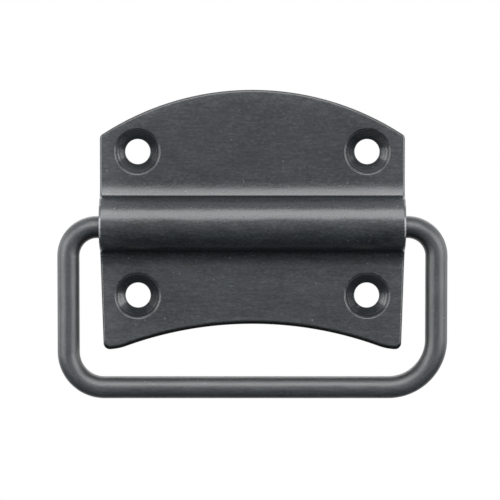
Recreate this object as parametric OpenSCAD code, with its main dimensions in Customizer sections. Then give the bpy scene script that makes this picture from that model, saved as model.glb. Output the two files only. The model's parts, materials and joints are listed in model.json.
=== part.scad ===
// Trunk handle: a pressed steel back plate, and a round-bar bail that swings in the bead across it.
// The back of the plate lies on y = 0, its front faces -Y, and +Z is up. The origin is the middle of
// the four screw holes, and the bail hangs down.

/* [Plate] */
// Width across the upper flange
plate_w = 66.7; // [56:0.1:90]
// Thickness of the sheet
sheet_t = 2.4; // [1.8:0.1:3.2]
// From the upper holes up to the top of the arched edge
top_over_holes = 13.5; // [11:0.1:24]
// Rise of the arched top edge above its corners
top_rise = 10.05; // [6:0.05:11.5]
// Radius on the two top corners
top_corner_r = 1.2; // [0.4:0.1:3]
// From the lower holes down to the toes
toe_under_holes = 11.85; // [11:0.05:20]
// Rise of the bottom arch above the toes
arch_rise = 5.6; // [3:0.1:6.5]
// Radius of each toe
toe_r = 12; // [8:0.5:16]
// From each side in to the lowest line of the toe
toe_in = 0.9; // [0:0.1:2]
// Radius on the outer corner of each toe
toe_corner_r = 1.4; // [0.5:0.1:3]
// How far each side draws in from the bead down to the toe
toe_inset = 0.65; // [0:0.05:2]

/* [Screw holes] */
// From each side of the plate to the middle of the holes
hole_edge = 8.2; // [7:0.05:12]
// Diameter of the screw holes
hole_d = 5.46; // [4:0.02:6.5]
// Included angle of the countersinks
csk_deg = 90; // [80:1:100]
// Straight land left under each countersink
csk_land = 0.23; // [0.2:0.01:0.6]
// Flat sheet between the countersinks and the curl beside the bead
csk_to_curl = 1.55; // [0.5:0.05:4]

/* [Bead] */
// How far the pins lie behind the middle of the bead
pin_back = 1.08; // [0.6:0.01:1.4]
// How far the pins hang below the middle of the bead
pin_drop = 0.7; // [0.4:0.01:1.2]
// Running gap between the pins and the inside of the bead
pin_gap = 0.23; // [0.2:0.01:0.6]
// Gap between the bail and the wall behind it
wall_gap = 0.15; // [0.1:0.01:0.5]
// Front radius of the curl that lifts each flange to the bead
curl_r = 8.8; // [5:0.1:12]
// Angle of that curl where it meets the bead
curl_deg = 21; // [12:1:32]

/* [Bail] */
// Diameter of the bar
bar_d = 4.86; // [3.5:0.01:6]
// Centre-line radius of the two bends beside the plate
shoulder_r = 6.35; // [4:0.05:10]
// Gap from the side of the plate to the start of those bends
side_gap = 0.57; // [0.1:0.01:2]
// Centre-line radius of the left bend of the grip
grip_left_r = 7.8; // [5:0.1:14]
// Centre-line radius of the right bend of the grip
grip_right_r = 10.5; // [5:0.1:14]
// Room that the grip leaves as it passes the top of the plate
swing_gap = 2.77; // [1:0.01:15]
// Gap between the ends of the two pins inside the bead
pin_end_gap = 8; // [1:0.5:30]

/* [Hidden] */
$fn = 96;
paint = "#45484b";

bar_r = bar_d / 2;
plate_x = plate_w / 2;
toe_x = plate_x - toe_inset;

// Bead: depths are measured from the wall, heights from the middle of the bead
pin_depth = bar_r + wall_gap;
bead_depth = pin_depth - pin_back;
bead_in_r = bar_r + norm([pin_back, pin_drop]) + pin_gap;
bead_out_r = bead_in_r + sheet_t;
crown = bead_depth + bead_out_r;

// Crease where the curl meets the bead, and the curl's centre
crease_depth = sheet_t + curl_r * (1 - cos(curl_deg));
crease_z = sqrt(pow(bead_out_r, 2) - pow(crease_depth - bead_depth, 2));
crease = [crease_depth, crease_z];
curl_centre = [sheet_t + curl_r, crease_z + curl_r * sin(curl_deg)];
bead_deg = atan2(crease_z, crease_depth - bead_depth);

// Screw holes
csk_h = sheet_t - csk_land;
csk_r = hole_d / 2 + csk_h * tan(csk_deg / 2);
hole_x = plate_x - hole_edge;
hole_z = curl_centre[1] + csk_to_curl + csk_r;

// Outline: the top arch, the bottom arch, and the toes that run tangent into it
top_z = hole_z + top_over_holes;
top_r = (pow(plate_x, 2) + pow(top_rise, 2)) / (2 * top_rise);
top_centre = [0, top_z - top_r];
top_corner_x = plate_x - top_corner_r;
top_corner = [top_corner_x, top_centre[1] + sqrt(pow(top_r - top_corner_r, 2) - pow(top_corner_x, 2))];
toe_z = -hole_z - toe_under_holes;
toe_centre = [toe_x - toe_in, toe_z + toe_r];
arch_r = (pow(toe_centre[0], 2) + pow(arch_rise, 2)) / (2 * arch_rise) - toe_r;
arch_centre = [0, toe_z + arch_rise - arch_r];
toe_corner_x = toe_x - toe_corner_r;
toe_corner_dx = toe_corner_x - toe_centre[0];
toe_corner = [toe_corner_x, toe_centre[1] - sqrt(pow(toe_r - toe_corner_r, 2) - pow(toe_corner_dx, 2))];

// Bail
pin_z = -pin_drop;
shoulder_x = plate_x + side_gap;
leg_x = shoulder_x + shoulder_r;
bail_drop = max(top_z - pin_z, pin_z - toe_z) + bar_r + swing_gap;
grip_z = pin_z - bail_drop;

// Overlap of a cut past the face that it opens, and of one arc over the next that it runs into
over = 1;
lap = 0.002;

// Direction from one point to another, one long
function towards(from, to) = (to - from) / norm(to - from);

// Direction at an angle from the way the front faces, in the bead's section
function facing(deg) = [cos(deg), sin(deg)];

// A list of points with x turned round, from its last point to its first
function turned_round(points) = [for (i = [len(points) - 1:-1:0]) [-points[i][0], points[i][1]]];

// A shape and its mirror image in a drawing, across or up and down
module left_and_right() {
  children();
  mirror([1, 0]) children();
}

module up_and_down() {
  children();
  mirror([0, 1]) children();
}

// What a rounding about a centre trims from a corner, between two directions
module corner_waste(centre, r, first, second) {
  reach = 3 * r;
  difference() {
    translate(centre) polygon([[0, 0], reach * first, reach * (first + second), reach * second]);
    translate(centre) circle(r);
  }
}

// Front view of the plate, x across and z up
module outline() {
  side = [
    [plate_x, top_z + over],
    [plate_x, -crease_z],
    [toe_x, toe_corner[1]],
    [toe_x, toe_z - over]
  ];
  outward = [1, 0];
  difference() {
    intersection() {
      polygon(concat(side, turned_round(side)));
      translate(top_centre) circle(top_r, $fn = 360);
    }
    translate(arch_centre) circle(arch_r + lap, $fn = 360);
    left_and_right() {
      corner_waste(top_corner, top_corner_r + lap, outward, towards(top_centre, top_corner));
      corner_waste(toe_centre, toe_r, towards(toe_centre, arch_centre), outward);
      corner_waste(toe_corner, toe_corner_r + lap, outward, towards(toe_centre, toe_corner));
    }
  }
}

// All that lies behind the front of the sheet, depth across and height up
module section_front(height) {
  translate([0, -height]) square([sheet_t, 2 * height]);
  difference() {
    translate([0, -curl_centre[1]]) square([bead_depth + bead_in_r, 2 * curl_centre[1]]);
    up_and_down() translate(curl_centre) circle(curl_r + lap);
  }
  intersection() {
    translate([bead_depth, 0]) circle(bead_out_r);
    translate([0, -bead_out_r]) square([crown + over, 2 * bead_out_r]);
  }
}

// The hollow behind the bead and the curls, one sheet's thickness behind the front
module section_back() {
  bead_centre = [bead_depth, 0];
  bead_back = crease - sheet_t * facing(bead_deg);
  mouth = crease - (crease_depth + over) / cos(curl_deg) * facing(curl_deg);
  translate(bead_centre) circle(bead_in_r);
  up_and_down() {
    difference() {
      polygon([bead_centre, bead_back, crease, mouth, [mouth[0], 0]]);
      translate(crease) circle(sheet_t + 2 * lap);
    }
    difference() {
      translate([-over, 0]) square([bead_back[0] + over, curl_centre[1]]);
      translate(curl_centre) circle(curl_r + sheet_t + lap);
    }
  }
}

module countersunk_hole() {
  rotate([90, 0, 0]) {
    translate([0, 0, -over]) cylinder(d = hole_d, h = sheet_t + 2 * over);
    translate([0, 0, csk_land]) cylinder(r1 = hole_d / 2, r2 = csk_r, h = csk_h);
    translate([0, 0, sheet_t]) cylinder(r = csk_r, h = over);
  }
}

module back_plate() {
  height = max(top_z, -toe_z) + over;
  color(paint) difference() {
    intersection() {
      rotate([90, 0, -90]) linear_extrude(plate_w + 2 * over, center = true) difference() {
        section_front(height);
        section_back();
      }
      translate([0, over, 0]) rotate([90, 0, 0]) linear_extrude(crown + 2 * over) outline();
    }
    for (x = [-hole_x, hole_x], z = [-hole_z, hole_z]) translate([x, 0, z]) countersunk_hole();
  }
}

// Straight bar along X or Z, from one end to the other
module bar_across(x0, x1, z) {
  translate([x0, 0, z]) rotate([0, 90, 0]) cylinder(d = bar_d, h = x1 - x0);
}

module bar_up(x, z0, z1) {
  translate([x, 0, z0]) cylinder(d = bar_d, h = z1 - z0);
}

// Quarter bend about a centre, from one direction in the front view to the next
module bend(x, z, r, from_deg) {
  translate([x, 0, z]) rotate([90, 0, 0]) rotate([0, 0, from_deg]) rotate_extrude(angle = 90)
    translate([r, 0]) circle(d = bar_d);
}

module bail() {
  leg_top = pin_z - shoulder_r;
  color(paint) translate([0, -pin_depth, 0]) {
    bar_across(pin_end_gap / 2, shoulder_x, pin_z);
    bar_across(-shoulder_x, -pin_end_gap / 2, pin_z);
    bend(shoulder_x, leg_top, shoulder_r, 0);
    bend(-shoulder_x, leg_top, shoulder_r, 90);
    bar_up(leg_x, grip_z + grip_right_r, leg_top);
    bar_up(-leg_x, grip_z + grip_left_r, leg_top);
    bend(-leg_x + grip_left_r, grip_z + grip_left_r, grip_left_r, 180);
    bend(leg_x - grip_right_r, grip_z + grip_right_r, grip_right_r, 270);
    bar_across(-leg_x + grip_left_r, leg_x - grip_right_r, grip_z);
  }
}

back_plate();
bail();
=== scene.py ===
import json

import bmesh
import bpy
import numpy as np
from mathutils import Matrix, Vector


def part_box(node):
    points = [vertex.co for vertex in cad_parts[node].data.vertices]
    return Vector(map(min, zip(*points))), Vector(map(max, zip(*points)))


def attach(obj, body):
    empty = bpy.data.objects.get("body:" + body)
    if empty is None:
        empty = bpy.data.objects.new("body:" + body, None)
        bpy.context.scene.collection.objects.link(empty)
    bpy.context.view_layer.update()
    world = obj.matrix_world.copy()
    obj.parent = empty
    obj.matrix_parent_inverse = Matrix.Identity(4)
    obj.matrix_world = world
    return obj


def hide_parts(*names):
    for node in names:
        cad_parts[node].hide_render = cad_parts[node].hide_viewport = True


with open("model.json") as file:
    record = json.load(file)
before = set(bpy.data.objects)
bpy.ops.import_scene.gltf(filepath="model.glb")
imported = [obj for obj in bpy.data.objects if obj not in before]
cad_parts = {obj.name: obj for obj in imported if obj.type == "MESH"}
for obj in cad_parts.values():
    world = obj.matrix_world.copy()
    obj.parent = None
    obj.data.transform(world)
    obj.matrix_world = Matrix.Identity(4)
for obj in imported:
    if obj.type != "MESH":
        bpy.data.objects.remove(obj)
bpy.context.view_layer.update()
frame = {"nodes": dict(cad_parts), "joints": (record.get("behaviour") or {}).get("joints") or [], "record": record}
mm = 0.001
samePoint = 1e-6    # points closer than this are one
print("frame loaded:", ", ".join(frame["nodes"]))


# sRGB hex to linear red, green, blue and alpha
def linear(hexText):
    srgb = np.array([int(hexText[i:i + 2], 16) for i in (1, 3, 5)]) / 255
    rgb = np.where(srgb <= 0.04045, srgb / 12.92, ((srgb + 0.055) / 1.055) ** 2.4)
    return (*rgb.tolist(), 1.0)


# Adds a node, with its settings and with a value or a link for each input
def addNode(tree, kind, settings=None, inputs=None):
    node = tree.nodes.new("ShaderNode" + kind)
    for name, value in (settings or {}).items():
        setattr(node, name, value)
    for socket, value in (inputs or {}).items():
        if isinstance(value, bpy.types.NodeSocket):
            tree.links.new(value, node.inputs[socket])
        else:
            node.inputs[socket].default_value = value
    return node


# Direction at an angle in a flat drawing: cosine across, sine up
def facing(angle):
    return np.stack([np.cos(angle), np.sin(angle)], axis=-1)


# Arcs laid end to end: each is its centre plus its radius times the way it faces, and a minus radius is
# a hollow. Gives the points and the angle that each one faces
def arcChain(arcs):
    angles = [np.linspace(start, end, count) for centre, radius, start, end, count in arcs]
    points = [np.asarray(arc[0]) + arc[1] * facing(angle) for arc, angle in zip(arcs, angles)]
    points = np.concatenate(points)
    angles = np.concatenate(angles)
    apart = np.r_[True, np.hypot(*np.diff(points, axis=0).T) > samePoint]
    return points[apart], angles[apart]


# Puts grids of points in millimetres into one mesh, with a value of wear, painted light and painted shade
# and a UV for each point, and closes the seams
def makePiece(name, grids, material):
    points = np.concatenate([grid.reshape(-1, 3) for grid, wearAndPaintedLight, uv in grids]) * mm
    wearAndPaintedLight = np.concatenate([wearAndPaintedLight.reshape(-1) for grid, wearAndPaintedLight, uv in grids])
    uv = np.concatenate([uv.reshape(-1, 2) for grid, wearAndPaintedLight, uv in grids])
    faces = []
    start = 0
    for grid, *rest in grids:
        index = start + np.arange(grid.shape[0] * grid.shape[1]).reshape(grid.shape[:2])
        corners = (index[:-1, :-1], index[:-1, 1:], index[1:, 1:], index[1:, :-1])
        faces.append(np.stack(corners, axis=-1).reshape(-1, 4))
        start += index.size
    faces = np.concatenate(faces)
    mesh = bpy.data.meshes.new(name)
    mesh.from_pydata(points.tolist(), [], faces.tolist())
    mesh.attributes.new("wearAndPaintedLight", "FLOAT", "POINT").data.foreach_set("value", wearAndPaintedLight)
    mesh.uv_layers.new(name="surface").data.foreach_set("uv", uv[faces.ravel()].ravel())
    work = bmesh.new()
    work.from_mesh(mesh)
    bmesh.ops.remove_doubles(work, verts=work.verts, dist=samePoint)
    bmesh.ops.recalc_face_normals(work, faces=work.faces)
    openEdges = sum(not edge.is_manifold for edge in work.edges)
    work.to_mesh(mesh)
    work.free()
    mesh.polygons.foreach_set("use_smooth", np.ones(len(mesh.polygons), dtype=bool))
    mesh.materials.append(material)
    piece = bpy.data.objects.new(name, mesh)
    bpy.context.scene.collection.objects.link(piece)
    print(name, "faces", len(mesh.polygons), "open edges", openEdges)
    return piece


# Satin black paint, sprayed thin over rolled steel. It gives the eye a dark and slightly blue grey with a
# soft sheen, which the grit of the spray breaks up, and the lines of the rolled steel show through. It has
# a few specks of dust and is grey where it is rubbed thin. Painted shade makes it black in the creases, on
# edges that face down, in the countersinks and inside the bail's loop, and painted light makes it lighter in
# places. Sizes are in millimetres. Grit, lines and specks are finer in life, and drawn this coarse so that
# they show
paint = {
    # colour of the painted shade
    "paintedShade": "#0c0d0e",
    "dust": "#9a9da0",
    # colour of rubbed paint, also used for painted light
    "rubbedAndPaintedLight": "#b0b3b8",
    "ior": 1.8,
    "lines": (4.0, 0.42),        # rolling lines, along and across
    "grain": (0.7, 0.32),        # grit of the spray, drawn out along the steel
    "peel": (3.0, 0.9),          # orange peel
    "sway": 9.0,                 # slow unevenness of the steel
    "cloud": 16.0,               # patches of thicker and thinner paint
    "turning": 0.3,              # rings that the cutter left in the countersinks
    "details": {"lines": 3.0, "grain": 1.0, "peel": 2.0, "sway": 1.0, "cloud": 4.0, "turning": 1.0},
    "heights": {"lines": 0.010, "grain": 0.009, "peel": 0.012, "sway": 0.24, "turning": 0.008},
    "gritSharp": 3.0,            # the higher, the fewer tops of the grit show
    "gritThins": (1.8, -0.7),    # how much the grit thins the paint, and from which level
    "linesThin": 0.8,            # and how much the lines do
    "fineSpan": 0.4,             # grit and lines give the first roughness at minus this, the second at plus
    "ragged": 0.5,               # how much the orange peel breaks up the worn paint
    "dustSpacing": 2.0,
    "dustSize": 0.2,
    "dustCore": 0.5,             # part of a speck that doesn't fade
    "dustShow": 0.45,            # how far a speck covers the paint
    "dustChance": (0.45, 0.8),   # cells under the first have no speck, those over the second a full one
    "dustDraw": 0.9,             # how far the orange peel draws a speck out
    "boreRoughness": 0.2,
    "borePaintedShade": 0.25,         # painted shade in the countersinks
    "boreFade": 0.1,             # where it starts, inside the rim
    "backFade": 0.2,             # and where it ends, in front of the back
    "rimClear": (0.3, 0.8),      # fade of the grit round a countersink, out from the rim
}


# Noise that is drawn out along the first axis by the lengths given
def drawnNoise(tree, place, size, detail):
    scale = (1 / size[0], 1 / size[1], 1 / size[1])
    drawn = addNode(tree, "Mapping", None, {"Vector": place, "Scale": scale})
    return addNode(tree, "TexNoise", None, {"Vector": drawn.outputs[0], "Scale": 1.0, "Detail": detail})


# Distance from the axis of the nearest screw hole: the holes lie alike in all four quarters
def boreRadius(tree, inMm, hole):
    folded = addNode(tree, "VectorMath", {"operation": "ABSOLUTE"}, {0: inMm})
    offset = addNode(tree, "VectorMath", {"operation": "MULTIPLY_ADD"}, {
        0: folded.outputs[0],
        1: (1, 0, 1),
        2: (-hole[0], 0, -hole[1]),
    })
    return addNode(tree, "VectorMath", {"operation": "LENGTH"}, {0: offset.outputs[0]}).outputs["Value"]


# The paint on one piece. A pattern follows the piece's UV map or its own coordinates, and where holes are
# given, their countersinks show the cutter's rings and painted shade, but not the back of the sheet
def paintMaterial(name, piece, alongUv=False, hole=None, sinkRound=0):
    material = bpy.data.materials.new(name)
    material.use_nodes = True
    tree = material.node_tree
    tree.nodes.clear()
    details = paint["details"]
    place = addNode(tree, "TexCoord")
    inMm = addNode(tree, "Mapping", None, {
        "Vector": place.outputs["Object"],
        "Scale": (1 / mm, 1 / mm, 1 / mm),
    }).outputs[0]
    along = place.outputs["UV"] if alongUv else inMm
    lines = drawnNoise(tree, along, paint["lines"], details["lines"])
    grain = drawnNoise(tree, along, paint["grain"], details["grain"])
    peel = drawnNoise(tree, along, paint["peel"], details["peel"])
    sway = addNode(tree, "TexNoise", None, {
        "Vector": inMm,
        "Scale": 1 / paint["sway"],
        "Detail": details["sway"],
    })
    cloud = addNode(tree, "TexNoise", None, {
        "Vector": inMm,
        "Scale": 1 / paint["cloud"],
        "Detail": details["cloud"],
    })

    # thin and thick paint: grit, lines and patches added up
    grit = addNode(tree, "Math", {"operation": "POWER"}, {0: grain.outputs[0], 1: paint["gritSharp"]})
    gritty = addNode(tree, "Math", {"operation": "MULTIPLY_ADD"}, {
        0: grit.outputs[0],
        1: paint["gritThins"][0],
        2: paint["gritThins"][1],
    })
    fine = addNode(tree, "Math", {"operation": "MULTIPLY_ADD"}, {
        0: lines.outputs[0],
        1: paint["linesThin"],
        2: gritty.outputs[0],
    })
    thin = addNode(tree, "Math", {"operation": "ADD", "use_clamp": True}, {
        0: cloud.outputs[0],
        1: fine.outputs[0],
    })
    base = addNode(tree, "Mix", {"data_type": "RGBA"}, {
        0: thin.outputs[0],
        6: linear(piece["thick"]),
        7: linear(piece["thin"]),
    })
    rough = addNode(tree, "MapRange", None, {
        "Value": fine.outputs[0],
        "From Min": -paint["fineSpan"],
        "From Max": paint["fineSpan"],
        "To Min": piece["roughness"][0],
        "To Max": piece["roughness"][1],
    })

    # painted shade where the wear value is below zero, and where it is above, rubbed paint and painted light,
    # which the orange peel breaks up
    wearAndPaintedLight = addNode(tree, "Attribute", {"attribute_name": "wearAndPaintedLight"})
    paintedShade = addNode(tree, "Math", {"operation": "MULTIPLY", "use_clamp": True}, {
        0: wearAndPaintedLight.outputs["Fac"],
        1: -1.0,
    })
    wornAndLit = addNode(tree, "Math", {"operation": "MAXIMUM"}, {0: wearAndPaintedLight.outputs["Fac"], 1: 0.0})
    ragged = addNode(tree, "Math", {"operation": "MULTIPLY_ADD"}, {
        0: peel.outputs[0],
        1: paint["ragged"],
        2: -paint["ragged"] / 2,
    })
    ragged = addNode(tree, "Math", {"operation": "ADD"}, {0: wornAndLit.outputs[0], 1: ragged.outputs[0]})
    lightened = addNode(tree, "Math", {"operation": "MULTIPLY", "use_clamp": True}, {
        0: wornAndLit.outputs[0],
        1: ragged.outputs[0],
    })

    # specks of dust, at the middles of some cells
    dustPlace = addNode(tree, "VectorMath", {"operation": "MULTIPLY_ADD"}, {
        0: peel.outputs["Color"],
        1: (paint["dustDraw"],) * 3,
        2: inMm,
    })
    dust = addNode(tree, "TexVoronoi", None, {
        "Vector": dustPlace.outputs[0],
        "Scale": 1 / paint["dustSpacing"],
    })
    dustReach = paint["dustSize"] / paint["dustSpacing"]
    speck = addNode(tree, "MapRange", None, {
        "Value": dust.outputs["Distance"],
        "From Min": dustReach * paint["dustCore"],
        "From Max": dustReach,
        "To Min": paint["dustShow"],
        "To Max": 0.0,
    })
    chance = addNode(tree, "MapRange", None, {
        "Value": dust.outputs["Color"],
        "From Min": paint["dustChance"][0],
        "From Max": paint["dustChance"][1],
    })
    speck = addNode(tree, "Math", {"operation": "MULTIPLY"}, {0: speck.outputs[0], 1: chance.outputs[0]})

    # countersinks, by the distance from the hole's axis and from the back of the sheet
    if hole is not None:
        radius = boreRadius(tree, inMm, hole)
        outside = addNode(tree, "MapRange", None, {
            "Value": radius,
            "From Min": sinkRound + paint["rimClear"][0],
            "From Max": sinkRound + paint["rimClear"][1],
        })
        grain = addNode(tree, "Math", {"operation": "MULTIPLY"}, {0: grain.outputs[0], 1: outside.outputs[0]})
        inBore = addNode(tree, "MapRange", None, {
            "Value": radius,
            "From Min": sinkRound - paint["boreFade"],
            "From Max": sinkRound,
            "To Min": 1.0,
            "To Max": 0.0,
        })
        depth = addNode(tree, "SeparateXYZ", None, {0: inMm})
        offBack = addNode(tree, "MapRange", None, {
            "Value": depth.outputs["Y"],
            "From Min": 0.0,
            "From Max": -paint["backFade"],
        })
        inBore = addNode(tree, "Math", {"operation": "MULTIPLY"}, {
            0: inBore.outputs[0],
            1: offBack.outputs[0],
        })
        rings = addNode(tree, "TexNoise", {"noise_dimensions": "1D"}, {
            "W": radius,
            "Scale": 1 / paint["turning"],
            "Detail": details["turning"],
        })
        rings = addNode(tree, "Math", {"operation": "MULTIPLY"}, {0: rings.outputs[0], 1: inBore.outputs[0]})
        rough = addNode(tree, "Mix", {"data_type": "FLOAT"}, {
            0: inBore.outputs[0],
            2: rough.outputs[0],
            3: paint["boreRoughness"],
        })
        # painted shade in the countersinks, added to that in the creases and on the edges
        paintedShade = addNode(tree, "Math", {"operation": "MULTIPLY_ADD", "use_clamp": True}, {
            0: inBore.outputs[0],
            1: paint["borePaintedShade"],
            2: paintedShade.outputs[0],
        })

    # painted shade, dust, and rubbed paint with painted light, laid over the paint's colour
    layers = ((paintedShade, "paintedShade"), (speck, "dust"), (lightened, "rubbedAndPaintedLight"))
    for amount, tint in layers:
        base = addNode(tree, "Mix", {"data_type": "RGBA"}, {
            0: amount.outputs[0],
            6: base.outputs[2],
            7: linear(paint[tint]),
        })
    shader = addNode(tree, "BsdfPrincipled", None, {
        "Base Color": base.outputs[2],
        "Roughness": rough.outputs[0],
        "IOR": paint["ior"],
    })
    reliefs = [(sway, "sway"), (peel, "peel"), (lines, "lines"), (grain, "grain")]
    if hole is not None:
        reliefs.append((rings, "turning"))
    for relief, kind in reliefs:
        bump = addNode(tree, "Bump", None, {
            "Height": relief.outputs[0],
            "Strength": 1.0,
            "Distance": paint["heights"][kind] * mm,
        })
        if shader.inputs["Normal"].is_linked:
            tree.links.new(shader.inputs["Normal"].links[0].from_socket, bump.inputs["Normal"])
        tree.links.new(bump.outputs[0], shader.inputs["Normal"])
    addNode(tree, "OutputMaterial", None, {"Surface": shader.outputs[0]})
    return material


# Back plate, in millimetres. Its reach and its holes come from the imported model, the rest is as in the CAD
plate = {
    "sheet": 2.4,
    "edgeRound": 0.55,            # front edge, rounded by the press and the paint
    "underWide": 0.7,             # how much wider that rounding is where the edge faces down
    "underSteep": 1.5,            # how soon an edge counts as facing down
    "backRound": 0.2,
    "topRise": 10.05,             # arched top edge above its corners
    "topCorner": 1.2,
    "toeRound": 12.0,
    "toeCorner": 1.4,
    "toeIn": 0.9,                 # from the side in to the lowest line of the toe
    "toeInset": 0.65,             # how far each side draws in below the bead
    "archRise": 5.6,
    "beadMiddle": 1.5,            # centre of the bead's arc, out from the wall
    "curlRound": 8.8,             # hollow curl between flange and bead
    "curlAngle": 21.0,
    "creaseRound": (0.15, 0.7),   # where curl and bead meet, above and below
    "boreLand": 0.23,             # straight part of the hole under its countersink
    "boreLip": (0.2, 0.42),       # steep lip round the countersink, across and deep
    "boreRim": 0.45,              # rounding on the rim of that lip
    "boreThroat": 0.42,           # and where the countersink runs into the hole
    "boreRound": 0.03,
    "boreWorn": 0.3,              # part of the rim's rounding that is worn
    "edgeWear": 0.06,
    "edgePaintedShade": 0.125,         # part of the edge over which painted shade begins, where it faces down
    "rubWear": 0.9,               # where the bail rubs the ends of the bead
    "rubReach": 2.4,              # above and below the pin
    "rubFull": 1.6,               # the higher, the sharper that ends
    "rubLow": (0.6, -3, 1),       # part that is left low down, below the first height up to the second
    "endHighlight": 0.6,              # painted highlight where the bead's end meets the upper crease
    "endHighlightZ": (4.5, 0.5),          # its height and its reach
    "paintedShade": (0.45, 0.15),      # how far the painted shade reaches below and above the upper crease
    "paintedShadeLow": (0.9, 3.2),     # and above and below the lower one
    "paintedShadeAmount": (1.0, 0.5),  # how dark the painted shade is in the upper and the lower crease
    "creaseHighlight": 0.35,           # painted highlight on the edge of the upper crease
    "creaseEdge": (0.3, 0.15),    # how far above the crease that is, and its reach
    "rimPaintedLight": (0.28, 0.22),      # painted light near the outline, at the left side and the right
    "rimReach": 7.5,              # how far in from the sides it fades
    "archReach": 3.0,             # and from the arched edges
    "crownPaintedLight": 0.2,             # painted light on the proud part of the bead
    "crownZ": (-1.5, 2.5),        # its middle and its reach
    "lowPaintedLight": 0.15,              # painted light all over the lower flange
    "lowFade": 3.0,
    "frontSlack": 0.005,          # points this close to the front count as on it
    "thick": "#1a1e21",           # thick paint
    "thin": "#353a3f",            # and thin
    "roughness": (0.22, 0.36),
    "flatLevels": (0.02, 0.1, 0.4, 0.8, 0.97, 1.0),   # of the mesh, from the hole out to the rim
    "coneLevels": (0.15, 0.5, 0.85, 0.98),            # and up the countersink and its lip
    "lipLevels": (0.15,),
    "steps": {                    # points along each stretch of the mesh
        "curl": 19,
        "crease": 8,
        "bead": 73,
        "across": 46,
        "topArch": 72,
        "topCorner": 10,
        "side": 20,
        "taper": 36,
        "toeCorner": 14,
        "toe": 12,
        "bottomArch": 60,
        "middle": 18,
        "mouth": 5,
        "bore": 8,
        "edge": 9,
        "wall": 3,
        "back": 6,
    },
}

plateLow, plateHigh = [np.array(corner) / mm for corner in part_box("back_plate")]
pinPlace = np.array(frame["joints"][0]["pos_m"]) / mm
holes = frame["record"]["mounts"][0]["dims"]
sheet = plate["sheet"]
steps = plate["steps"]
halfWidth, topZ, toeZ = plateHigh[0], plateHigh[2], plateLow[2]

# Bead: its arc, the curl's centre and the crease where they meet, as depth from the wall and height
beadCentre = np.array([plate["beadMiddle"], 0.0])
beadRound = -plateLow[1] - plate["beadMiddle"]
curlTurn = np.radians(plate["curlAngle"])
meetDepth = sheet + plate["curlRound"] * (1 - np.cos(curlTurn))
meetZ = np.sqrt(beadRound ** 2 - (meetDepth - plate["beadMiddle"]) ** 2)
curlZ = meetZ + plate["curlRound"] * np.sin(curlTurn)
curlCentre = np.array([sheet + plate["curlRound"], curlZ])


# A small hollow rounds a crease: its centre lies a little inside the curl's circle and outside the bead's.
# Gives that centre, and the angles where the curl and the bead run into it
def creaseHollow(hollow):
    between = curlCentre - beadCentre
    span = np.hypot(*between)
    near = beadRound + hollow
    far = plate["curlRound"] - hollow
    along = (near ** 2 - far ** 2 + span ** 2) / (2 * span)
    aside = np.sqrt(near ** 2 - along ** 2)
    unit = between / span
    centre = beadCentre + along * unit + aside * np.array([-unit[1], unit[0]])
    return centre, np.arctan2(*(curlCentre - centre)[::-1]), np.arctan2(*(centre - beadCentre)[::-1])


# Front of the plate's section from the upper flange over the bead to the lower flange, as a chain of arcs
def beadSection():
    high, low = plate["creaseRound"]
    highCentre, highCurl, highBead = creaseHollow(high)
    lowCentre, lowCurl, lowBead = creaseHollow(low)
    flip = np.array([1, -1])
    return arcChain([
        (curlCentre, -plate["curlRound"], 0, highCurl, steps["curl"]),
        (highCentre, -high, highCurl, highBead, steps["crease"]),
        (beadCentre, beadRound, highBead, -lowBead, steps["bead"]),
        (lowCentre * flip, -low, -lowBead, -lowCurl, steps["crease"]),
        (curlCentre * flip, -plate["curlRound"], -lowCurl, 0, steps["curl"]),
    ])


# Outline of the plate's right half, x across and z up: the centres and turns of its arcs
topRound = (halfWidth ** 2 + plate["topRise"] ** 2) / (2 * plate["topRise"])
topCentre = np.array([0, topZ - topRound])
cornerX = halfWidth - plate["topCorner"]
cornerZ = topCentre[1] + np.sqrt((topRound - plate["topCorner"]) ** 2 - cornerX ** 2)
cornerTurn = np.arctan2(cornerZ - topCentre[1], cornerX)
toeX = halfWidth - plate["toeInset"]
toeCentre = np.array([toeX - plate["toeIn"], toeZ + plate["toeRound"]])
archRound = (toeCentre[0] ** 2 + plate["archRise"] ** 2) / (2 * plate["archRise"]) - plate["toeRound"]
archCentre = np.array([0, toeZ + plate["archRise"] - archRound])
toeCornerX = toeX - plate["toeCorner"]
toeReach = plate["toeRound"] - plate["toeCorner"]
toeCornerZ = toeCentre[1] - np.sqrt(toeReach ** 2 - (toeCornerX - toeCentre[0]) ** 2)
toeTurn = np.arctan2(toeCornerZ - toeCentre[1], toeCornerX - toeCentre[0])
archTurn = np.arctan2(*(archCentre - toeCentre)[::-1])


# Half width of the plate at a height: straight down to the bead's lower crease, then drawn in to the toe
def sideAt(height):
    return np.interp(height, [toeCornerZ, -meetZ], [toeX, halfWidth])


# Points of the outline and the angles that they face, as arcs and straight lines end to end. The upper
# half runs from the middle of the arched top round its corner and down the side, the lower one from the
# side round the toe to the middle of the bottom arch
def outlineHalves():
    top, topAngle = arcChain([
        (topCentre, topRound, np.pi / 2, cornerTurn, steps["topArch"]),
        ((cornerX, cornerZ), plate["topCorner"], cornerTurn, 0, steps["topCorner"]),
    ])
    side = np.linspace(top[-1], (halfWidth, curlZ), steps["side"])[1:]
    upper = np.concatenate([top, side])
    upperAngle = np.concatenate([topAngle, np.zeros(len(side))])
    taper = np.linspace((sideAt(-curlZ), -curlZ), (toeX, toeCornerZ), steps["taper"])[:-1]
    lean = -np.arctan2(taper[0, 0] - toeX, taper[0, 1] - toeCornerZ)
    toe, toeAngle = arcChain([
        ((toeCornerX, toeCornerZ), plate["toeCorner"], 0, toeTurn, steps["toeCorner"]),
        (toeCentre, plate["toeRound"], toeTurn, archTurn, steps["toe"]),
        (archCentre, -archRound, archTurn, -np.pi / 2, steps["bottomArch"]),
    ])
    lower = np.concatenate([taper, toe])
    lowerAngle = np.concatenate([[0], np.full(len(taper) - 1, lean), toeAngle])
    return upper, upperAngle, lower, lowerAngle


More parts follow.
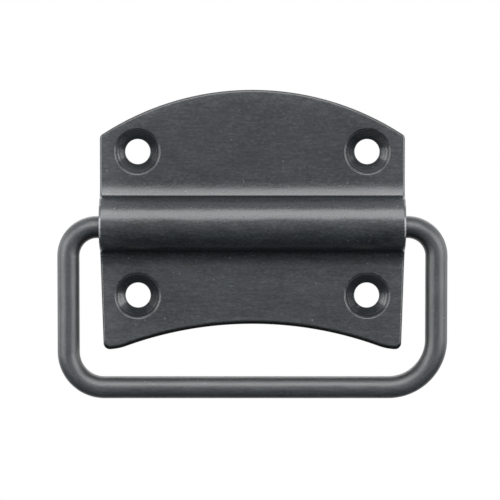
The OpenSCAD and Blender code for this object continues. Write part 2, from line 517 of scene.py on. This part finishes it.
# A flange round its screw hole: one ray for each point of its rim, by levels that run over the back in to
# the hole, up through the bore and its countersink, and out over the front. Each level is the hole's middle
# plus a radius along the rays, or part of the way from there to the rim
def flangeGrid(frontRim, backRim, hole, bore):
    ray = frontRim - hole
    ray = ray / np.hypot(*ray.T)[:, None]
    rings = hole + bore[:, None, :1] * ray
    ringDepth = np.broadcast_to(bore[:, None, 1], rings.shape[:2])
    out = np.array(plate["flatLevels"])[:, None, None]
    front = rings[-1] + (frontRim - rings[-1]) * out
    back = backRim + (rings[0] - backRim) * (1 - out[::-1])
    flat = np.concatenate([back, rings, front])
    depth = np.concatenate([np.zeros(back.shape[:2]), ringDepth, np.full(front.shape[:2], sheet)])
    wearAndPaintedLight = np.concatenate([np.zeros(back.shape[:2]), ringWear(bore, rings), creaseShadeAndHighlight(front[..., 1])])
    return np.stack([flat[..., 0], -depth, flat[..., 1]], axis=-1), wearAndPaintedLight


# Wear on the bore: a half wave over the front part of the rounded rim
def ringWear(bore, rings):
    deep = plate["boreRim"] * plate["boreWorn"]
    rim = np.clip((bore[:, 1] - sheet + deep) / deep, 0, 1)
    return np.broadcast_to((plate["edgeWear"] * np.sin(np.pi * rim))[:, None], rings.shape[:2])


# Radius and depth up the bore, from the back to the front of the sheet: the rounded mouth, the throat, the
# cone, and the steep lip with its rounded rim. Each rounding is its centre plus its radius times the way
# that it faces
def boreProfile():
    r = holes["hole_r_mm"]
    small, throat, rim = plate["boreRound"], plate["boreThroat"], plate["boreRim"]
    land = plate["boreLand"]
    sink = r + sheet - land
    lip = np.array([sink, sheet]) - plate["boreLip"]
    coneTurn = np.arctan2(lip[1] - land, lip[0] - r)
    lipTurn = np.arctan2(*plate["boreLip"][::-1])
    front = np.pi / 2
    mouth = np.array([r + small, small]) + small * facing(np.linspace(-front, -np.pi, steps["mouth"])[:-1])
    neckCentre = np.array([r + throat, land - throat * np.tan((front - coneTurn) / 2)])
    neck = neckCentre + throat * facing(np.linspace(np.pi, front + coneTurn, steps["bore"]))
    rimCentre = np.array([sink + rim * np.tan(lipTurn / 2), sheet - rim])
    edge = rimCentre + rim * facing(np.linspace(front + lipTurn, front, steps["bore"]))
    cone = neck[-1] + (lip - neck[-1]) * np.array(plate["coneLevels"])[:, None]
    foot = lip + (edge[0] - lip) * np.array(plate["lipLevels"])[:, None]
    return np.concatenate([mouth, neck, cone, foot, edge])


# How far an edge faces down, from 0 to 1
def facingDown(sine):
    return np.clip(-plate["underSteep"] * sine, 0, 1)


# Band round the edge of the sheet: a profile of front rounding, wall and back rounding carried along the
# outline. The paint is a little worn on the rounding, more so where rubbed and lighter where a highlight is
# painted, and painted shade darkens it where the edge faces down, where the rounding is wider
def edgeBand(front, normal, outward, rubAndHighlight):
    r, back = plate["edgeRound"], plate["backRound"]
    turn = np.linspace(np.pi / 2, 0, steps["edge"])
    frontTurn = r * facing(turn) - r
    wallDepth = np.linspace(-r, back - sheet, steps["wall"] + 2)[1:-1]
    wall = np.stack([np.zeros(len(wallDepth)), wallDepth], axis=-1)
    backTurn = back * facing(np.linspace(0, -np.pi / 2, steps["back"])) + [-back, back - sheet]
    profile = np.concatenate([frontTurn, wall, backTurn])
    under = facingDown(outward[:, 2:])
    onFront = np.arange(len(profile)) < len(turn)
    inward = profile[:, 0] * (1 + plate["underWide"] * onFront * under)
    grid = front[:, None] + inward[..., None] * outward[:, None] + profile[:, 1:] * normal[:, None]
    hump = np.zeros(len(profile))
    hump[:len(turn)] = np.sin(2 * turn)
    # painted shade on the rounding and wall where the edge faces down
    thick = np.clip(np.linspace(0, 1, len(profile)) / plate["edgePaintedShade"], 0, 1)
    return grid, hump * (plate["edgeWear"] + rubAndHighlight[:, None]) * (1 - under) - thick * under


# Painted shade in the two creases, as minus wear: a bell curve of the height above or below the
# crease, with a narrow painted highlight beside the upper crease
def creaseShadeAndHighlight(height):
    off = np.abs(height) - meetZ
    high = height > 0
    onBead = np.where(high, plate["paintedShade"][0], plate["paintedShadeLow"][0])
    onCurl = np.where(high, plate["paintedShade"][1], plate["paintedShadeLow"][1])
    reach = np.where(off < 0, onBead, onCurl)
    edgeOff, edgeReach = plate["creaseEdge"]
    lightened = plate["creaseHighlight"] * high * np.exp(-((off - edgeOff) / edgeReach) ** 2)
    return lightened - np.where(high, *plate["paintedShadeAmount"]) * np.exp(-(off / reach) ** 2)


# Painted light on the front: bell curves of the distance in from the nearest edge of the outline and from
# the middle of the bead's crown, and an even amount on the lower flange
def paintedFrontLight(grid):
    x, y, z = np.moveaxis(grid, -1, 0)
    fromSide = (sideAt(z) - np.abs(x)) / plate["rimReach"]
    fromTop = (topRound - np.hypot(x, z - topCentre[1])) / plate["archReach"]
    fromArch = (np.hypot(x, z - archCentre[1]) - archRound) / plate["archReach"]
    inside = np.minimum(np.minimum(fromSide, fromTop), fromArch)
    rim = np.interp(x, [-halfWidth, halfWidth], plate["rimPaintedLight"]) * np.exp(-inside ** 2)
    crownMiddle, crownReach = plate["crownZ"]
    crown = plate["crownPaintedLight"] * np.exp(-((z - crownMiddle) / crownReach) ** 2)
    low = plate["lowPaintedLight"] * np.clip((-curlZ - z) / plate["lowFade"], 0, 1)
    return np.maximum(rim, crown + low) * (y < plate["frontSlack"] - sheet)


# All of the plate as grids: the bead's section carried along x, the flanges round their holes, and the band
# round the edge, for the right half and its mirror image
def plateGrids():
    section, tilt = beadSection()
    upper, upperAngle, lower, lowerAngle = outlineHalves()
    hole = np.array([holes["spacing_x_mm"], holes["spacing_y_mm"]]) / 2
    bore = boreProfile()
    grids = []

    # across the bead, closer together below the holes: equal angles as seen from a hole
    drop = hole[1] - curlZ
    reach = halfWidth - plate["edgeRound"]
    look = np.linspace(np.arctan2(-hole[0], drop), np.arctan2(reach - hole[0], drop), steps["across"])
    across = np.clip((hole[0] + drop * np.tan(look)) / reach, 0, 1)

    # front and back of the bead and its curls, the back one sheet behind
    side = sideAt(section[:, 1])
    tiltWay = facing(tilt)
    for behind, inset in ((0, plate["edgeRound"]), (sheet, plate["backRound"])):
        x = across[:, None] * (side - inset)
        depth, height = (section - behind * tiltWay).T
        grid = np.stack([x, np.broadcast_to(-depth, x.shape), np.broadcast_to(height, x.shape)], axis=-1)
        grids.append((grid, np.broadcast_to(creaseShadeAndHighlight(section[:, 1]), x.shape)))

    # flanges
    flanges = ((upper, upperAngle, hole[1], curlZ), (lower, lowerAngle, -hole[1], -curlZ))
    for edge, angle, holeZ, first in flanges:
        rims = []
        for inset, widen in ((plate["edgeRound"], plate["underWide"]), (plate["backRound"], 0)):
            reachIn = inset * (1 + widen * facingDown(np.sin(angle)))
            free = edge - reachIn[:, None] * facing(angle)
            if first < 0:
                free = free[::-1]
            middle = np.linspace((0, first), free[0], steps["middle"])[1:]
            foot = np.stack([across * (sideAt(first) - inset), np.full(len(across), first)], axis=-1)
            rims.append(np.concatenate([foot[::-1], middle, free[1:]]))
        grids.append(flangeGrid(*rims, np.array([hole[0], holeZ]), bore))

    # edge of the sheet, from the middle of the top round the right side to the middle of the bottom: its
    # points, the way that the front faces there, and the way out
    def flat(points, angle):
        depth = np.full(len(points), -sheet)
        zero = np.zeros(len(points))
        ahead = np.stack([points[:, 0], depth, points[:, 1]], axis=-1)
        outward = np.stack([np.cos(angle), zero, np.sin(angle)], axis=-1)
        return ahead, np.stack([zero, zero - 1, zero], axis=-1), outward

    depth, height = section.T
    bend = (
        np.stack([side, -depth, height], axis=-1),
        np.stack([np.zeros(len(tilt)), -np.cos(tilt), np.sin(tilt)], axis=-1),
        np.broadcast_to([1.0, 0.0, 0.0], (len(tilt), 3)),
    )
    runs = (flat(upper[:-1], upperAngle[:-1]), bend, flat(lower[1:], lowerAngle[1:]))
    path = [np.concatenate(parts) for parts in zip(*runs)]

    # rubbed by the bail beside the pins, less so low down, and a painted highlight above them
    edgeZ = path[0][:, 2]
    nearPin = np.abs(edgeZ - pinPlace[2]) / plate["rubReach"]
    rubAndHighlight = plate["rubWear"] * np.clip(plate["rubFull"] * (1 - nearPin ** 4), 0, 1)
    lowPart, lowZ, highZ = plate["rubLow"]
    rubAndHighlight = rubAndHighlight * np.interp(edgeZ, [lowZ, highZ], [lowPart, 1])
    chipMiddle, chipReach = plate["endHighlightZ"]
    rubAndHighlight = rubAndHighlight + plate["endHighlight"] * np.exp(-((edgeZ - chipMiddle) / chipReach) ** 2)
    grids.append(edgeBand(*path, rubAndHighlight))

    flip = np.array([-1, 1, 1])
    whole = grids + [(grid * flip, wearAndPaintedLight) for grid, wearAndPaintedLight in grids]
    return [(grid, wearAndPaintedLight + paintedFrontLight(grid), grid[..., ::2] * mm) for grid, wearAndPaintedLight in whole]


sinkRound = holes["hole_r_mm"] + sheet - plate["boreLand"]
holeSpot = (holes["spacing_x_mm"] / 2, holes["spacing_y_mm"] / 2)
platePaint = paintMaterial("satinPaintOnPressedSteel", plate, hole=holeSpot, sinkRound=sinkRound)
platePiece = makePiece("backPlate", plateGrids(), platePaint)
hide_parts("back_plate")
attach(platePiece, "plate")

# Bail: one round bar, bent four times at the shoulders and the grip, in millimetres
bail = {
    "shoulderRound": 6.35,
    "gripLeftRound": 7.8,
    "gripRightRound": 10.5,
    "sideGap": 0.57,
    "pinGap": 8.0,                # between the ends of the two pins
    "endRound": 0.5,
    "sides": 64,
    "steps": {"shoulder": 25, "gripLeft": 29, "gripRight": 31, "end": 6},
    "gripPaintedLight": 0.21,             # painted light that lightens the grip
    "gripFade": 12.0,             # and how far up the legs that fades
    "paintedShade": 0.9,               # painted shade along the inside of the loop
    "paintedShadeFrom": (0.4, 0.8),    # where it starts and where it is full, as parts of the bar's radius
    "thick": "#2c3033",           # a lighter coat than the plate's
    "thin": "#474b4f",
    "roughness": (0.32, 0.48),
}


# The bar: a circle carried along the path of the bends. Each ring is the path's point plus the bar's radius
# times the way that the bend faces, or the way to the wall, by the cosine and the sine round the ring. Painted
# light falls with the height above the grip, and painted shade darkens the inside of the loop by the cosine
def bailGrid():
    low, high = [np.array(corner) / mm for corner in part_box("bail")]
    barRound = (high[1] - low[1]) / 2
    middleY = (high[1] + low[1]) / 2
    pinZ = pinPlace[2]
    shoulderX = halfWidth + bail["sideGap"]
    legX = high[0] - barRound
    gripZ = low[2] + barRound
    bendZ = pinZ - bail["shoulderRound"]
    left, right = bail["gripLeftRound"], bail["gripRightRound"]
    counts = bail["steps"]
    quarter = np.pi / 2
    path, angle = arcChain([
        ((shoulderX, bendZ), bail["shoulderRound"], quarter, 0, counts["shoulder"]),
        ((legX - right, gripZ + right), right, 0, -quarter, counts["gripRight"]),
        ((-legX + left, gripZ + left), left, -quarter, -2 * quarter, counts["gripLeft"]),
        ((-shoulderX, bendZ), bail["shoulderRound"], -2 * quarter, -3 * quarter, counts["shoulder"]),
    ])
    turn = np.linspace(0, quarter, counts["end"])
    endIn = np.r_[0, bail["endRound"] * (1 - np.cos(turn))]
    endSize = np.r_[0, barRound - bail["endRound"] + bail["endRound"] * np.sin(turn)]
    pinEnd = np.stack([bail["pinGap"] / 2 + endIn, np.full(len(endIn), pinZ)], axis=-1)
    path = np.concatenate([pinEnd, path, (pinEnd * [-1, 1])[::-1]])
    angle = np.concatenate([np.full(len(endIn), quarter), angle, np.full(len(endIn), -3 * quarter)])
    size = np.concatenate([endSize, np.full(len(angle) - 2 * len(endIn), barRound), endSize[::-1]])
    around = np.linspace(0, 2 * np.pi, bail["sides"] + 1)
    way = facing(angle)[:, None]
    flat = path[:, None] + size[:, None, None] * np.cos(around)[:, None] * way
    y = middleY + size[:, None] * np.sin(around)
    length = np.r_[0, np.cumsum(np.hypot(*np.diff(path, axis=0).T))]
    uv = np.stack(np.broadcast_arrays(length[:, None], around * barRound), axis=-1)
    lightened = bail["gripPaintedLight"] * np.clip(1 - (path[:, 1:] - gripZ) / bail["gripFade"], 0, 1)
    paintedShade = bail["paintedShade"] * np.interp(-np.cos(around), bail["paintedShadeFrom"], [0, 1])
    return np.stack([flat[..., 0], y, flat[..., 1]], axis=-1), lightened - paintedShade, uv


bailPaint = paintMaterial("satinPaintOnSteelBar", bail, alongUv=True)
bailPiece = makePiece("bailBar", [bailGrid()], bailPaint)
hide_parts("bail")
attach(bailPiece, "bail")

# Floor: a pale round table below the object, out of the photograph's frame, in millimetres
floor = {
    "colour": "#ecebe9",
    "roughness": 0.8,
    "z": -110.0,
    "y": 30.0,
    "round": 240.0,
    "rings": 8,
    "sides": 96,
}


# Disc: rings of points, radius along one side of the grid and angle along the other
def floorGrid():
    radius = np.linspace(0, floor["round"], floor["rings"] + 1)[:, None]
    angle = np.linspace(0, 2 * np.pi, floor["sides"] + 1)
    x = radius * np.cos(angle)
    y = floor["y"] + radius * np.sin(angle)
    return np.stack([x, y, np.full(x.shape, floor["z"])], axis=-1)


# Table paint: matt and pale. It takes the object's shadow, but gives no light back to it
floorPaint = bpy.data.materials.new("paleTablePaint")
floorPaint.use_nodes = True
floorShader = floorPaint.node_tree.nodes["Principled BSDF"]
floorShader.inputs["Base Color"].default_value = linear(floor["colour"])
floorShader.inputs["Roughness"].default_value = floor["roughness"]
disc = floorGrid()
floorPiece = makePiece("floor", [(disc, np.zeros(disc.shape[:2]), disc[..., :2] * mm)], floorPaint)
floorPiece.visible_glossy = False
floorPiece.visible_diffuse = False

# Soft boxes: where each stands as seen from the object, in degrees from the camera's side and above the
# horizon, how wide and high it looks in degrees, and how bright its face is
softBoxes = {
    "topSoftBox": {"azimuth": 0, "elevation": 39, "wide": 50, "high": 38, "bright": 2.45},
    "leftSoftBox": {"azimuth": -56, "elevation": 8, "wide": 46, "high": 40, "bright": 2.25},
    "rightSoftBox": {"azimuth": 56, "elevation": 8, "wide": 46, "high": 40, "bright": 2.25},
    "leftKicker": {"azimuth": -108, "elevation": 8, "wide": 26, "high": 40, "bright": 1.2},
    "rightKicker": {"azimuth": 108, "elevation": 8, "wide": 26, "high": 40, "bright": 1.2},
    "backSoftBox": {"azimuth": 180, "elevation": 40, "wide": 70, "high": 40, "bright": 1.0},
}
lightDistance = 1.2
wattsPerArea = 4    # watts for each square metre of a soft box with a brightness of one


# A soft box that faces the object: its sides are twice the distance times the tangent of half the angle
# that it fills
def addSoftBox(name, box):
    lamp = bpy.data.lights.new(name, "AREA")
    lamp.shape = "RECTANGLE"
    lamp.size = 2 * lightDistance * np.tan(np.radians(box["wide"] / 2))
    lamp.size_y = 2 * lightDistance * np.tan(np.radians(box["high"] / 2))
    lamp.energy = box["bright"] * wattsPerArea * lamp.size * lamp.size_y
    light = bpy.data.objects.new(name, lamp)
    bpy.context.scene.collection.objects.link(light)
    turn, up = np.radians(box["azimuth"]), np.radians(box["elevation"])
    light.location = (
        lightDistance * np.sin(turn) * np.cos(up),
        -lightDistance * np.cos(turn) * np.cos(up),
        lightDistance * np.sin(up),
    )
    light.rotation_euler = (np.pi / 2 - up, 0, turn)
    light.visible_camera = False


for boxName, boxValues in softBoxes.items():
    addSoftBox(boxName, boxValues)

# Studio round the object: white to the camera and behind the object, and elsewhere dim, more so below
studio = {
    "ambient": 0.04,
    "below": 0.02,
    "above": 0.66,
    "rise": (-0.65, 0.35),    # from below to above, as the upward part of a direction
    "white": 1.0,
    "behind": (0.25, 0.85),   # where white begins and is full, as the backward part of a direction
}
world = bpy.data.worlds.new("studio")
bpy.context.scene.world = world
world.use_nodes = True
tree = world.node_tree
tree.nodes.clear()
skyPlace = addNode(tree, "TexCoord")
parts = addNode(tree, "SeparateXYZ", None, {0: skyPlace.outputs["Generated"]})
dim = addNode(tree, "MapRange", {"interpolation_type": "SMOOTHSTEP"}, {
    "Value": parts.outputs["Z"],
    "From Min": studio["rise"][0],
    "From Max": studio["rise"][1],
    "To Min": studio["below"],
    "To Max": studio["above"],
})
behind = addNode(tree, "MapRange", {"interpolation_type": "SMOOTHSTEP"}, {
    "Value": parts.outputs["Y"],
    "From Min": studio["behind"][0],
    "From Max": studio["behind"][1],
})
lightPath = addNode(tree, "LightPath")
ahead = addNode(tree, "Mix", {"data_type": "FLOAT"}, {
    0: lightPath.outputs["Is Glossy Ray"],
    2: studio["ambient"],
    3: dim.outputs[0],
})
lit = addNode(tree, "Mix", {"data_type": "FLOAT"}, {
    0: behind.outputs[0],
    2: ahead.outputs[0],
    3: studio["white"],
})
seen = addNode(tree, "Math", {"operation": "MAXIMUM"}, {
    0: lightPath.outputs["Is Camera Ray"],
    1: lightPath.outputs["Is Transmission Ray"],
})
strength = addNode(tree, "Mix", {"data_type": "FLOAT"}, {
    0: seen.outputs[0],
    2: lit.outputs[0],
    3: studio["white"],
})
sky = addNode(tree, "Background", None, {"Color": (1, 1, 1, 1), "Strength": strength.outputs[0]})
addNode(tree, "OutputWorld", None, {"Surface": sky.outputs[0]})
print("lights and studio done")

# Camera: a long lens a little above the object, aimed at the middle of the photograph, in millimetres
view = {"aim": (-0.525, -2.4, -5.74), "distance": 490.0, "elevation": 3.0, "frame": 109.45, "sensor": 36}
lens = bpy.data.cameras.new("camera")
lens.sensor_width = view["sensor"]
lens.lens = view["sensor"] * view["distance"] / view["frame"]
camera = bpy.data.objects.new("camera", lens)
bpy.context.scene.collection.objects.link(camera)
up = np.radians(view["elevation"])
standOff = view["distance"] * mm * np.array([0, -np.cos(up), np.sin(up)])
camera.location = np.array(view["aim"]) * mm + standOff
camera.rotation_euler = (np.pi / 2 - up, 0, 0)
bpy.context.scene.camera = camera
bpy.context.scene.view_settings.view_transform = "Standard"
